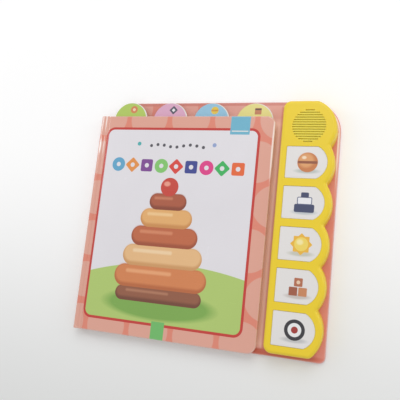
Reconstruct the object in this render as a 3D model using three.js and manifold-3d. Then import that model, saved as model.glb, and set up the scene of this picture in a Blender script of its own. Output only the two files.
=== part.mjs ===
// A children's sound book lying on its back cover.
// Millimetres, +Z up out of the front cover, +Y towards the page tabs,
// +X from the spine towards the sound module. The origin is the middle of
// the footprint, on the surface that the book lies on.

import * as THREE from 'three';
import { mergeVertices } from 'three/addons/utils/BufferGeometryUtils.js';
import Module from 'manifold-3d';

const wasm = await Module();
wasm.setup();

// Driving dimensions of the covers
const COVER_HEIGHT = 201.8;
const COVER_THICKNESS = 2.3;
const COVER_CORNER = 8;
const BACK_WIDTH = 226.6; // the back cover carries the module beside the pages
const MODULE_GAP = 6.5; // fore edge of the narrow front cover to the module
const BACK_HEIGHT = 217.3;
const BACK_THICKNESS = 2.5;
const BACK_TOP_CORNER = 28;
const BACK_FOOT_CORNER = 5;
const BOARD_EDGE = 0.7; // rounding of the wrapped board edges
const SPINE_WALL = 2;
const SPINE_ROUND = 3;
const HINGE_STRIP = 9.6; // spine face to the crease that the cover folds at
const CREASE_GAP = 1.2;

// Driving dimensions of the pages
const LEAF_COUNT = 4;
const LEAF_THICKNESS = 1.4;
const LEAF_SLIT = 0.14; // dark line between two leaves, seen at the edges
const LEAF_SLIT_DEPTH = 1.2;
const PAGE_INSET = 3; // the cover stands out over the pages by this much
const PAGE_FORE_INSET = 3.5;
const PAGE_CORNER = 6;
const TAB_RADIUS = 17;
const FIRST_TAB_FROM_SPINE = 30.9;
const LAST_TAB_FROM_FORE_EDGE = 20.5;

// Driving dimensions of the sound module
const HOUSING_WIDTH = 45.8;
const HOUSING_LENGTH = 210.6;
const HOUSING_HEIGHT = 13;
const HOUSING_WALL = 1.8;
const HOUSING_RIM = 3; // rounding between the face and the outer wall
const HOUSING_CORNER = 6.5;
const HOUSING_FOOT_MARGIN = 3.6;
const HOUSING_SIDE_MARGIN = 2.3;
const LOBE_RADIUS = 29; // one scallop beside each button
const SPEAKER_LOBE_RADIUS = 26.1;
const LOBE_END_FILLET = 5;
const NOTCH_FILLET = 1.2;

// Driving dimensions of the buttons
const BUTTON_COUNT = 5;
const WINDOW_HEIGHT = 27.5;
const WINDOW_ARC_RADIUS = 15.4;
const WINDOW_ARC_FROM_LEFT = 19; // straight side of the D to the centre of its arc
const WINDOW_CORNER = 0.8;
const WINDOW_FROM_SIDE = 6; // outer wall to the straight side of the D
const WINDOW_FROM_FOOT = 6.9;
const BUTTON_TRAVEL = 0.8;
const BUTTON_RECESS = 0.4;
const BUTTON_FLANGE = 0.9; // keeps the button from falling out of its window
const BUTTON_FLANGE_THICKNESS = 1;
const LABEL_THICKNESS = 0.2;
const LABEL_MARGIN = 0.2;

// Driving dimensions of the speaker and its grille
const GRILLE_RADIUS = 14.2;
const SLOT_COUNT = 14;
const SLOT_PITCH = 2.1;
const SLOT_WIDTH = 1;
const SPEAKER_FROM_SIDE = 23; // outer wall to the grille's centre
const SPEAKER_FROM_HEAD = 22.4; // top of the module to the grille's centre
const SPEAKER_OVER_WINDOW = 17.8; // top of the first D to the grille's centre
const SPEAKER_LOBE_FROM_GRILLE = 1.8; // the lobe's centre lies this far below
const SPEAKER_RADIUS = 14.5;
const SPEAKER_RIM = 1.9;
const SPEAKER_DEPTH = 3;
const SPEAKER_SHEET = 0.5;
const MAGNET_RADIUS = 7.5;
const MAGNET_THICKNESS = 2;
const CONE_DOME_RADIUS = 5;

// Driving dimensions of what lies inside the module
const BASE_THICKNESS = 2;
const CIRCUIT_HEIGHT = 6.1; // back cover to the underside of the circuit board
const CIRCUIT_THICKNESS = 1;
const KEYPAD_THICKNESS = 0.8;
const DOME_RADIUS = 6;
const POST_RADIUS = 1.5;
const CHIP_RADIUS = 5;
const CHIP_HEIGHT = 1.2;
const CELL_COUNT = 3;
const CELL_RADIUS = 5.8; // the common 11.6 mm button cell
const CELL_HEIGHT = 5.4;
const CELL_GAP = 0.5;
const CONTACT_THICKNESS = 0.2;
const CONTACT_WIDTH = 10;
const POCKET_WALL = 1.2;
const POCKET_ROOF = 0.7;
const DOOR_WIDTH = 18;
const DOOR_LENGTH = 54;
const DOOR_THICKNESS = 1.2;
const DOOR_CORNER = 2.5;
const DOOR_RECESS = 0.1; // keeps the door off the table
const DOOR_FRAME = 1.2;

// Driving dimensions of the screws
const SCREW_HEAD_RADIUS = 1.8;
const SCREW_HEAD_HEIGHT = 1;
const SCREW_RADIUS = 0.7;
const SCREW_LENGTH = 7;
const DOOR_SCREW_LENGTH = 3.2;
const BOSS_RADIUS = 1.8;

// Clearances
const SEAT_GAP = 0.1; // flat faces that rest on each other
const FIT_GAP = 0.3; // pieces that sit in each other
const BUTTON_GAP = 0.35; // button to its window

const ARC_TOLERANCE = 0.06; // how far a chord may lie from its arc

// Levels, worked out from the thicknesses above
const boardTop = BACK_THICKNESS;
const pagesTop = boardTop + LEAF_COUNT * LEAF_THICKNESS;
const coverFloor = pagesTop + SEAT_GAP;
const coverTop = coverFloor + COVER_THICKNESS;
const housingTop = boardTop + HOUSING_HEIGHT;
const faceFloor = housingTop - HOUSING_WALL;
const baseTop = boardTop + BASE_THICKNESS;
const circuitFloor = boardTop + CIRCUIT_HEIGHT;
const circuitTop = circuitFloor + CIRCUIT_THICKNESS;
const keypadFloor = circuitTop + SEAT_GAP;
const keypadTop = keypadFloor + KEYPAD_THICKNESS;
const buttonTop = housingTop - BUTTON_RECESS;
const flangeTop = faceFloor - FIT_GAP;
const flangeFloor = flangeTop - BUTTON_FLANGE_THICKNESS;
const domeTop = flangeFloor - BUTTON_TRAVEL - FIT_GAP; // clear of a pressed button

// Lines across the book, worked out from the widths above
const spineX = -BACK_WIDTH / 2;
const backRight = BACK_WIDTH / 2;
const footY = -BACK_HEIGHT / 2;
const backTopY = BACK_HEIGHT / 2;
const housingRight = backRight - HOUSING_SIDE_MARGIN;
const housingLeft = housingRight - HOUSING_WIDTH;
const coverRight = housingLeft - MODULE_GAP;
const coverTopY = footY + COVER_HEIGHT;
const creaseX = spineX + HINGE_STRIP;
const pageLeft = spineX + SPINE_WALL + SEAT_GAP;
const pageRight = coverRight - PAGE_FORE_INSET;
const pageFootY = footY + PAGE_INSET;
const pageTopY = coverTopY - PAGE_INSET;
const firstTabX = spineX + FIRST_TAB_FROM_SPINE;
const lastTabX = coverRight - LAST_TAB_FROM_FORE_EDGE;
const tabPitch = (lastTabX - firstTabX) / (LEAF_COUNT - 1);

const housingFootY = footY + HOUSING_FOOT_MARGIN;
const housingTopY = housingFootY + HOUSING_LENGTH;
const windowLeft = housingLeft + WINDOW_FROM_SIDE;
const grilleY = housingTopY - SPEAKER_FROM_HEAD;
const firstWindowY = grilleY - SPEAKER_OVER_WINDOW - WINDOW_HEIGHT / 2;
const lastWindowY = housingFootY + WINDOW_FROM_FOOT + WINDOW_HEIGHT / 2;
const buttonPitch = (firstWindowY - lastWindowY) / (BUTTON_COUNT - 1);
const lobeX = housingRight - LOBE_RADIUS;
const grilleX = housingLeft + SPEAKER_FROM_SIDE;
const speakerLobe = {
  x: housingRight - SPEAKER_LOBE_RADIUS,
  y: grilleY - SPEAKER_LOBE_FROM_GRILLE,
  r: SPEAKER_LOBE_RADIUS,
};

// Screws stand in the bars between the windows, two in every second bar
const screwRows = [0, 2, 4].map((bar) => firstWindowY + buttonPitch * (0.5 - bar));
const screwColumns = [
  windowLeft + BOSS_RADIUS + FIT_GAP,
  windowLeft + WINDOW_ARC_FROM_LEFT + WINDOW_ARC_RADIUS / 2,
];
const screwPlaces = screwRows.flatMap((y) => screwColumns.map((x) => ({ x, y })));

// The battery pocket lies between the second and third rows of screws
const pocketX = (screwColumns[0] + screwColumns[1]) / 2;
const pocketY = (screwRows[1] + screwRows[2]) / 2;
const cellPitch = 2 * CELL_RADIUS + CELL_GAP;
const pocketWidth = 2 * (CELL_RADIUS + FIT_GAP);
const pocketLength = CELL_COUNT * cellPitch + CELL_GAP;
const doorFloor = DOOR_RECESS;
const doorTop = doorFloor + DOOR_THICKNESS;
const doorContactFloor = doorTop + SEAT_GAP;
const cellFloor = doorContactFloor + CONTACT_THICKNESS + SEAT_GAP;
const cellTop = cellFloor + CELL_HEIGHT;
const roofContactFloor = cellTop + SEAT_GAP;
const pocketCeiling = roofContactFloor + CONTACT_THICKNESS + SEAT_GAP;
const pocketTop = pocketCeiling + POCKET_ROOF;
const doorScrewY = pocketY + (pocketLength + DOOR_LENGTH) / 4;

const quarter = Math.PI / 2;

// Points along an arc, as many as the tolerance asks for
function arc(x, y, radius, from, to) {
  const step = 2 * Math.acos(1 - Math.min(0.3, ARC_TOLERANCE / radius));
  const count = Math.max(2, Math.ceil(Math.abs(to - from) / step));
  const points = [];
  for (let i = 0; i <= count; i += 1) {
    const angle = from + ((to - from) * i) / count;
    points.push(new THREE.Vector2(x + radius * Math.cos(angle), y + radius * Math.sin(angle)));
  }
  return points;
}

// A rectangle whose four corner radii may differ, counter-clockwise from
// the low left corner
function roundedRectangle(left, bottom, right, top, radii) {
  const [lowLeft, lowRight, highRight, highLeft] = radii;
  return [
    ...corner(left, bottom, 1, 1, lowLeft, 2 * quarter),
    ...corner(right, bottom, -1, 1, lowRight, 3 * quarter),
    ...corner(right, top, -1, -1, highRight, 0),
    ...corner(left, top, 1, -1, highLeft, quarter),
  ];
}

function corner(x, y, inX, inY, radius, from) {
  if (radius <= 0) {
    return [new THREE.Vector2(x, y)];
  }
  return arc(x + inX * radius, y + inY * radius, radius, from, from + quarter);
}

// Where two circles cross, on their right-hand side
function rightCrossing(a, b) {
  const distance = Math.hypot(b.x - a.x, b.y - a.y);
  const along = (distance ** 2 + a.r ** 2 - b.r ** 2) / (2 * distance);
  const across = Math.sqrt(Math.max(0, a.r ** 2 - along ** 2));
  const ux = (b.x - a.x) / distance;
  const uy = (b.y - a.y) / distance;
  return { x: a.x + ux * along + uy * across, y: a.y + uy * along - ux * across };
}

function direction(from, to) {
  return Math.atan2(to.y - from.y, to.x - from.x);
}

// A plain prism between two levels
function prism(points, floor, top) {
  const shape = new THREE.Shape(points);
  const geometry = new THREE.ExtrudeGeometry(shape, { depth: top - floor, bevelEnabled: false });
  return geometry.translate(0, 0, floor);
}

// A board whose long edges are rounded, top and bottom
function board(points, floor, top, edge, segments) {
  const shape = new THREE.Shape(points);
  const geometry = new THREE.ExtrudeGeometry(shape, {
    depth: top - floor - 2 * edge,
    bevelThickness: edge,
    bevelSize: edge,
    bevelOffset: -edge,
    bevelSegments: segments,
  });
  return geometry.translate(0, 0, floor + edge);
}

// A turned piece on an upright axis, from a profile of radius and height
// that runs from the foot of the axis round to its head
function turned(profile, x, y, segments = 20) {
  const points = profile.map(([radius, height]) => new THREE.Vector2(radius, height));
  const geometry = new THREE.LatheGeometry(points, segments);
  return geometry.rotateX(quarter).translate(x, y, 0);
}

function cylinder(x, y, radius, floor, top, segments = 14) {
  return turned([[0, floor], [radius, floor], [radius, top], [0, top]], x, y, segments);
}

function box(left, bottom, right, top, floor, ceiling) {
  return prism(roundedRectangle(left, bottom, right, top, [0, 0, 0, 0]), floor, ceiling);
}

// A box given by its middle and its sides
function centredBox(x, y, width, length, floor, ceiling) {
  return box(x - width / 2, y - length / 2, x + width / 2, y + length / 2, floor, ceiling);
}

function solidOf(geometry) {
  const bare = geometry.clone();
  bare.deleteAttribute('normal');
  bare.deleteAttribute('uv');
  const welded = mergeVertices(bare, 1e-4);
  return new wasm.Manifold(new wasm.Mesh({
    numProp: 3,
    vertProperties: new Float32Array(welded.attributes.position.array),
    triVerts: new Uint32Array(welded.index.array),
  }));
}

function geometryOf(solid) {
  const mesh = solid.getMesh();
  const geometry = new THREE.BufferGeometry();
  geometry.setAttribute('position', new THREE.BufferAttribute(mesh.vertProperties, 3));
  geometry.setIndex(new THREE.BufferAttribute(mesh.triVerts, 1));
  geometry.computeVertexNormals();
  return geometry;
}

function join(...geometries) {
  return geometryOf(geometries.map(solidOf).reduce((sum, next) => sum.add(next)));
}

function cut(geometry, ...tools) {
  return geometryOf(tools.map(solidOf).reduce((rest, tool) => rest.subtract(tool), solidOf(geometry)));
}

const book = new THREE.Group();

function add(name, geometry, color, roughness, metalness = 0) {
  const material = new THREE.MeshStandardMaterial({ color, roughness, metalness });
  const mesh = new THREE.Mesh(geometry, material);
  mesh.name = name;
  book.add(mesh);
}

// Colours of the pieces
const CORAL = 0xe08a78;
const PAPER = 0xeeebe4;
const YELLOW = 0xefd340;
const WHITE = 0xe8e6e8;
const GREY_PLASTIC = 0x3c3f44;
const RUBBER = 0xb9bcc0;
const CIRCUIT_GREEN = 0x2f6b45;
const BLACK = 0x1c1c1e;
const STEEL = 0xb9bbbe;
const BRASS = 0xc9a65a;

// Back cover: a wide board with a window for the battery door, and a top
// edge that steps up round the first tab
function backCover() {
  const left = creaseX + CREASE_GAP / 2;
  const stepY = backTopY - TAB_RADIUS;
  const stepAngle = Math.asin(Math.max(-1, Math.min(1, (coverTopY - stepY) / TAB_RADIUS)));
  const outline = [
    new THREE.Vector2(left, footY),
    ...corner(backRight, footY, -1, 1, BACK_FOOT_CORNER, 3 * quarter),
    ...corner(backRight, backTopY, -1, -1, BACK_TOP_CORNER, 0),
    ...arc(firstTabX, stepY, TAB_RADIUS, quarter, 2 * quarter - stepAngle),
    new THREE.Vector2(left, coverTopY),
  ];
  const opening = prism(doorOutline(DOOR_FRAME + 2 * FIT_GAP), -1, boardTop + 1);
  return cut(board(outline, 0, boardTop, BOARD_EDGE, 2), opening);
}

// Battery door outline, grown on all sides by a margin
function doorOutline(margin) {
  const halfWidth = DOOR_WIDTH / 2 + margin;
  const halfLength = DOOR_LENGTH / 2 + margin;
  const radius = DOOR_CORNER + margin;
  return roundedRectangle(
    pocketX - halfWidth,
    pocketY - halfLength,
    pocketX + halfWidth,
    pocketY + halfLength,
    [radius, radius, radius, radius],
  );
}

// Spine board: wraps the bound edge of the pages, from the crease of the
// front cover round to the crease of the back cover
function spineBoard() {
  const right = creaseX - CREASE_GAP / 2;
  const wall = spineX + SPINE_WALL;
  const section = [
    ...corner(spineX, 0, 1, 1, SPINE_ROUND / 2, 2 * quarter),
    ...corner(right, 0, -1, 1, BOARD_EDGE, 3 * quarter),
    new THREE.Vector2(right, boardTop),
    new THREE.Vector2(wall, boardTop),
    new THREE.Vector2(wall, coverFloor),
    new THREE.Vector2(right, coverFloor),
    ...corner(right, coverTop, -1, -1, BOARD_EDGE, 0),
    ...corner(spineX, coverTop, 1, -1, SPINE_ROUND, quarter),
  ];
  return prism(section, 0, COVER_HEIGHT).rotateX(quarter).translate(0, coverTopY, 0);
}

// Front cover: a narrow board that folds at the crease
function frontCover() {
  const left = creaseX + CREASE_GAP / 2;
  const radii = [0, COVER_CORNER, COVER_CORNER, 0];
  const outline = roundedRectangle(left, footY, coverRight, coverTopY, radii);
  return board(outline, coverFloor, coverTop, BOARD_EDGE, 2);
}

// Page block: thick leaves, one above the other, each with a half-round tab
// of its own on its top edge
function pageBlock() {
  const radii = [0, PAGE_CORNER, PAGE_CORNER, 0];
  const leaf = roundedRectangle(pageLeft, pageFootY, pageRight, pageTopY, radii);
  const core = box(
    pageLeft,
    pageFootY + LEAF_SLIT_DEPTH,
    pageRight - LEAF_SLIT_DEPTH,
    pageTopY - LEAF_SLIT_DEPTH,
    boardTop,
    pagesTop,
  );
  const pieces = [cut(core, cylinderCorner(1), cylinderCorner(-1))];
  for (let i = 0; i < LEAF_COUNT; i += 1) {
    const top = pagesTop - i * LEAF_THICKNESS;
    const isLast = i === LEAF_COUNT - 1;
    const floor = isLast ? boardTop : top - LEAF_THICKNESS + LEAF_SLIT;
    const tabX = firstTabX + i * tabPitch;
    pieces.push(prism(leaf, floor, top));
    pieces.push(prism(arc(tabX, pageTopY, TAB_RADIUS, 0, 4 * quarter).slice(1), floor, top));
  }
  return join(...pieces);
}

// The square corner that the page block's core loses, at its top or foot
function cylinderCorner(side) {
  const y = side > 0 ? pageTopY : pageFootY;
  const centre = { x: pageRight - PAGE_CORNER, y: y - side * PAGE_CORNER };
  const square = box(
    centre.x,
    Math.min(centre.y, centre.y + side * 2 * PAGE_CORNER),
    centre.x + 2 * PAGE_CORNER,
    Math.max(centre.y, centre.y + side * 2 * PAGE_CORNER),
    boardTop - 1,
    pagesTop + 1,
  );
  const keep = cylinder(centre.x, centre.y, PAGE_CORNER - LEAF_SLIT_DEPTH, boardTop - 2, pagesTop + 2);
  return cut(square, keep);
}

// Outline of the yellow housing, scalloped on its outer side, pulled in on
// all sides by an inset
function housingOutline(inset) {
  const left = housingLeft + inset;
  const foot = housingFootY + inset;
  const top = housingTopY - inset;
  const radius = Math.max(0.5, HOUSING_CORNER - inset);
  const end = Math.max(0.5, LOBE_END_FILLET - inset);
  const notch = NOTCH_FILLET + inset;
  const lobes = [];
  for (let i = BUTTON_COUNT - 1; i >= 0; i -= 1) {
    lobes.push({ x: lobeX, y: firstWindowY - i * buttonPitch, r: LOBE_RADIUS - inset });
  }
  lobes.push({ ...speakerLobe, r: speakerLobe.r - inset });
  const footFillet = endFillet(lobes[0], foot, end, 1);
  const headFillet = endFillet(lobes[lobes.length - 1], top, end, -1);
  const outline = [
    ...corner(left, foot, 1, 1, radius, 2 * quarter),
    ...arc(footFillet.x, footFillet.y, end, -quarter, direction(lobes[0], footFillet)),
  ];
  let from = direction(lobes[0], footFillet);
  lobes.forEach((lobe, i) => {
    const next = lobes[i + 1];
    if (next) {
      const hollow = rightCrossing(
        { ...lobe, r: lobe.r + notch },
        { ...next, r: next.r + notch },
      );
      outline.push(...arc(lobe.x, lobe.y, lobe.r, from, direction(lobe, hollow)).slice(1));
      const enter = direction(hollow, lobe) + 4 * quarter;
      outline.push(...arc(hollow.x, hollow.y, notch, enter, direction(hollow, next)).slice(1));
      from = direction(next, hollow);
    } else {
      outline.push(...arc(lobe.x, lobe.y, lobe.r, from, direction(lobe, headFillet)).slice(1));
    }
  });
  const lastLobe = lobes[lobes.length - 1];
  outline.push(...arc(headFillet.x, headFillet.y, end, direction(lastLobe, headFillet), quarter).slice(1));
  outline.push(...corner(left, top, 1, -1, radius, quarter));
  return outline;
}

// The rounding between a lobe and the straight end of the housing. Side is
// 1 at the foot and -1 at the head
function endFillet(lobe, level, radius, side) {
  const y = level + side * radius;
  const reach = Math.sqrt(Math.max(0, (lobe.r - radius) ** 2 - (y - lobe.y) ** 2));
  return { x: lobe.x + reach, y };
}

// The D of a window or button, pulled in on all sides by an inset
function windowOutline(middleY, inset) {
  const left = windowLeft + inset;
  const half = WINDOW_HEIGHT / 2 - inset;
  const radius = WINDOW_ARC_RADIUS - inset;
  const arcX = windowLeft + WINDOW_ARC_FROM_LEFT;
  const spread = Math.asin(Math.min(1, half / radius));
  return [
    ...corner(left, middleY - half, 1, 1, WINDOW_CORNER, 2 * quarter),
    ...arc(arcX, middleY, radius, -spread, spread),
    ...corner(left, middleY + half, 1, -1, WINDOW_CORNER, quarter),
  ];
}

// The straight slots over the speaker, each as long as the grille's circle
// lets it be
function grilleSlots(floor, top) {
  const slots = [];
  for (let i = 0; i < SLOT_COUNT; i += 1) {
    const offset = (i - (SLOT_COUNT - 1) / 2) * SLOT_PITCH;
    const reach = Math.sqrt(Math.max(0, GRILLE_RADIUS ** 2 - offset ** 2)) - SLOT_WIDTH / 2;
    if (reach > SLOT_WIDTH) {
      const y = grilleY + offset;
      const outline = [
        ...arc(grilleX + reach, y, SLOT_WIDTH / 2, -quarter, quarter),
        ...arc(grilleX - reach, y, SLOT_WIDTH / 2, quarter, 3 * quarter),
      ];
      slots.push(prism(outline, floor, top));
    }
  }
  return slots;
}

// Yellow housing: an open-bottomed moulded shell with a rounded rim, five
// windows, the grille and six screw bosses
function soundHousing() {
  const rounded = board(housingOutline(0), boardTop - 2 * HOUSING_RIM, housingTop, HOUSING_RIM, 4);
  const below = centredBox(0, 0, 2 * BACK_WIDTH, 2 * BACK_HEIGHT, -BACK_WIDTH, boardTop);
  const hollow = prism(housingOutline(HOUSING_WALL), boardTop - 1, faceFloor);
  const shell = cut(rounded, below, hollow);
  const bosses = screwPlaces.map(({ x, y }) => cylinder(x, y, BOSS_RADIUS, baseTop, faceFloor + 1));
  const pilots = screwPlaces.map(({ x, y }) => {
    const top = boardTop + SEAT_GAP + SCREW_HEAD_HEIGHT + SCREW_LENGTH + FIT_GAP;
    return cylinder(x, y, SCREW_RADIUS + FIT_GAP, baseTop - 1, top, 12);
  });
  const windows = [];
  for (let i = 0; i < BUTTON_COUNT; i += 1) {
    const middleY = firstWindowY - i * buttonPitch;
    windows.push(prism(windowOutline(middleY, 0), faceFloor - 1, housingTop + 1));
  }
  const slots = grilleSlots(faceFloor - 1, housingTop + 1);
  return cut(join(shell, ...bosses), ...pilots, ...windows, ...slots);
}

// Module base: the plate that closes the housing, with the battery pocket,
// the seat of its door and the posts that carry the circuit board
function moduleBase() {
  const plate = prism(housingOutline(HOUSING_WALL + FIT_GAP), boardTop, baseTop);
  const frame = prism(doorOutline(DOOR_FRAME + FIT_GAP), FIT_GAP, baseTop);
  const pocketShell = centredBox(
    pocketX,
    pocketY,
    pocketWidth + 2 * POCKET_WALL,
    pocketLength + 2 * POCKET_WALL,
    boardTop,
    pocketTop,
  );
  const towerRadius = SCREW_RADIUS + FIT_GAP + POCKET_WALL;
  const screwTower = cylinder(pocketX, doorScrewY, towerRadius, boardTop, pocketTop);
  const posts = postPlaces().map(({ x, y }) => cylinder(x, y, POST_RADIUS, boardTop, circuitFloor));
  const body = join(plate, frame, pocketShell, screwTower, ...posts);
  const doorSeat = prism(doorOutline(FIT_GAP), -1, doorContactFloor);
  const pocket = centredBox(pocketX, pocketY, pocketWidth, pocketLength, -1, pocketCeiling);
  const pilotTop = cellFloor + DOOR_SCREW_LENGTH;
  const doorPilot = cylinder(pocketX, doorScrewY, SCREW_RADIUS + FIT_GAP, 0, pilotTop, 12);
  const screwSeats = screwPlaces.flatMap(({ x, y }) => [
    cylinder(x, y, SCREW_HEAD_RADIUS + FIT_GAP, boardTop - 1, boardTop + 2 * SEAT_GAP + SCREW_HEAD_HEIGHT),
    cylinder(x, y, SCREW_RADIUS + FIT_GAP, boardTop - 1, baseTop + 1, 12),
  ]);
  return cut(body, doorSeat, pocket, doorPilot, ...screwSeats);
}

// Posts under the circuit board, beside the first, third and last buttons
function postPlaces() {
  const places = [];
  for (const i of [0, 2, BUTTON_COUNT - 1]) {
    for (const x of [circuitLeft() + 2 * POST_RADIUS, circuitRight() - 2 * POST_RADIUS]) {
      places.push({ x, y: firstWindowY - i * buttonPitch });
    }
  }
  return places;
}

function circuitLeft() {
  return windowLeft - BUTTON_FLANGE;
}

// The circuit board ends just short of the housing's innermost notches
function circuitRight() {
  const across = Math.sqrt((LOBE_RADIUS + NOTCH_FILLET) ** 2 - (buttonPitch / 2) ** 2);
  return lobeX + across - NOTCH_FILLET - HOUSING_WALL - 2 * FIT_GAP;
}

// A sheet under all five buttons, with holes that the bosses pass through
function buttonSheet(floor, top, margin) {
  const foot = lastWindowY - WINDOW_HEIGHT / 2 + margin;
  const head = firstWindowY + WINDOW_HEIGHT / 2 - margin;
  const sheet = box(circuitLeft() + margin, foot, circuitRight() - margin, head, floor, top);
  const holes = screwPlaces
    .filter(({ y }) => y < head + BOSS_RADIUS + FIT_GAP)
    .map(({ x, y }) => cylinder(x, y, BOSS_RADIUS + FIT_GAP, floor - 1, top + 1));
  return cut(sheet, ...holes);
}

// Rubber keypad: a sheet with one raised dome under each button
function rubberKeypad() {
  const domes = [];
  for (let i = 0; i < BUTTON_COUNT; i += 1) {
    const y = firstWindowY - i * buttonPitch;
    const profile = [
      [0, keypadFloor],
      [DOME_RADIUS, keypadFloor],
      [DOME_RADIUS, keypadTop],
      [DOME_RADIUS * 0.7, domeTop],
      [0, domeTop],
    ];
    domes.push(turned(profile, buttonX(), y));
  }
  return join(buttonSheet(keypadFloor, keypadTop, FIT_GAP), ...domes);
}

function buttonX() {
  return windowLeft + (WINDOW_ARC_FROM_LEFT + WINDOW_ARC_RADIUS) / 2;
}

// One button: a D that fills its window, on a flange that stays inside
function button(middleY) {
  const key = prism(windowOutline(middleY, BUTTON_GAP), flangeFloor, buttonTop);
  const flange = prism(windowOutline(middleY, -BUTTON_FLANGE), flangeFloor, flangeTop);
  return join(key, flange);
}

function buttonLabel(middleY) {
  const outline = windowOutline(middleY, BUTTON_GAP + LABEL_MARGIN);
  return prism(outline, buttonTop, buttonTop + LABEL_THICKNESS);
}

// Speaker: a pressed basket with a magnet behind it, and a paper cone whose
// surround lies on the basket's rim, close under the grille
const coneTop = faceFloor - SEAT_GAP;
const coneRimFloor = coneTop - SPEAKER_SHEET;
const basketTop = coneRimFloor - SEAT_GAP;
const basketFloor = basketTop - SPEAKER_DEPTH;
const basketBore = SPEAKER_RADIUS - SPEAKER_RIM;

function speakerFrame() {
  const footRadius = basketBore - 2 * SPEAKER_SHEET;
  return turned([
    [0, basketFloor],
    [footRadius + SPEAKER_SHEET, basketFloor],
    [basketBore + SPEAKER_SHEET, basketTop - SPEAKER_SHEET],
    [SPEAKER_RADIUS, basketTop - SPEAKER_SHEET],
    [SPEAKER_RADIUS, basketTop],
    [basketBore, basketTop],
    [footRadius, basketFloor + SPEAKER_SHEET],
    [0, basketFloor + SPEAKER_SHEET],
  ], grilleX, grilleY, 24);
}

function speakerCone() {
  const reach = basketBore - 2 * SPEAKER_SHEET - FIT_GAP;
  const dip = SPEAKER_DEPTH / 2;
  return turned([
    [0, coneRimFloor - dip],
    [CONE_DOME_RADIUS, coneRimFloor - dip],
    [reach, coneRimFloor],
    [SPEAKER_RADIUS, coneRimFloor],
    [SPEAKER_RADIUS, coneTop],
    [reach, coneTop],
    [CONE_DOME_RADIUS, coneTop - dip],
    [CONE_DOME_RADIUS / 2, coneTop - dip / 2],
    [0, coneTop - dip / 3],
  ], grilleX, grilleY, 24);
}

function speakerMagnet() {
  const floor = basketFloor - MAGNET_THICKNESS;
  return cylinder(grilleX, grilleY, MAGNET_RADIUS, floor, basketFloor, 24);
}

// A drop of black resin that covers the sound chip, under the circuit board
function chipCover() {
  const y = firstWindowY - buttonPitch / 2;
  return turned([
    [0, circuitFloor - CHIP_HEIGHT],
    [CHIP_RADIUS * 0.6, circuitFloor - CHIP_HEIGHT * 0.8],
    [CHIP_RADIUS * 0.9, circuitFloor - CHIP_HEIGHT * 0.4],
    [CHIP_RADIUS, circuitFloor],
    [0, circuitFloor],
  ], pocketX, y);
}

function cellY(i) {
  return pocketY + ((CELL_COUNT - 1) / 2 - i) * cellPitch;
}

// Button cell: a can with a smaller cap above it
function batteryCell(i) {
  const step = CELL_HEIGHT / 6;
  return turned([
    [0, cellFloor],
    [CELL_RADIUS, cellFloor],
    [CELL_RADIUS, cellTop - step],
    [CELL_RADIUS - step, cellTop - step / 2],
    [CELL_RADIUS - step, cellTop],
    [0, cellTop],
  ], pocketX, cellY(i));
}

// Contact plates join the cells in a row: one single and one double plate
// under the roof, and the same on the door the other way round
function contactPlate(first, last, floor) {
  const foot = cellY(last) - CONTACT_WIDTH / 2;
  const head = cellY(first) + CONTACT_WIDTH / 2;
  const half = CONTACT_WIDTH / 2;
  return box(pocketX - half, foot, pocketX + half, head, floor, floor + CONTACT_THICKNESS);
}

function batteryDoor() {
  const plate = board(doorOutline(0), doorFloor, doorTop, DOOR_THICKNESS / 4, 1);
  const hole = cylinder(pocketX, doorScrewY, SCREW_RADIUS + FIT_GAP, doorFloor - 1, doorTop + 1, 12);
  const sink = cylinder(
    pocketX,
    doorScrewY,
    SCREW_HEAD_RADIUS + FIT_GAP,
    doorFloor - 1,
    doorFloor + DOOR_THICKNESS / 2 + SEAT_GAP,
  );
  return cut(plate, hole, sink);
}

// Screw driven upwards: its head is below its thread
function screw(x, y, headFloor, headHeight, length) {
  const shoulder = headFloor + headHeight;
  return turned([
    [0, headFloor],
    [SCREW_HEAD_RADIUS, headFloor],
    [SCREW_HEAD_RADIUS, shoulder],
    [SCREW_RADIUS, shoulder],
    [SCREW_RADIUS, shoulder + length - SCREW_RADIUS],
    [0, shoulder + length],
  ], x, y, 10);
}

add('back_cover', backCover(), CORAL, 0.35);
add('spine_board', spineBoard(), CORAL, 0.35);
add('front_cover', frontCover(), CORAL, 0.35);
add('page_block', pageBlock(), PAPER, 0.6);
add('sound_housing', soundHousing(), YELLOW, 0.4);
add('module_base', moduleBase(), GREY_PLASTIC, 0.5);
add('circuit_board', buttonSheet(circuitFloor, circuitTop, 0), CIRCUIT_GREEN, 0.5);
add('chip_cover', chipCover(), BLACK, 0.4);
add('rubber_keypad', rubberKeypad(), RUBBER, 0.8);

for (let i = 0; i < BUTTON_COUNT; i += 1) {
  const middleY = firstWindowY - i * buttonPitch;
  add(`button_${i + 1}`, button(middleY), WHITE, 0.4);
  add(`button_label_${i + 1}`, buttonLabel(middleY), WHITE, 0.5);
}

add('speaker_frame', speakerFrame(), STEEL, 0.35, 0.9);
add('speaker_cone', speakerCone(), BLACK, 0.8);
add('speaker_magnet', speakerMagnet(), STEEL, 0.4, 0.9);

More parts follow.
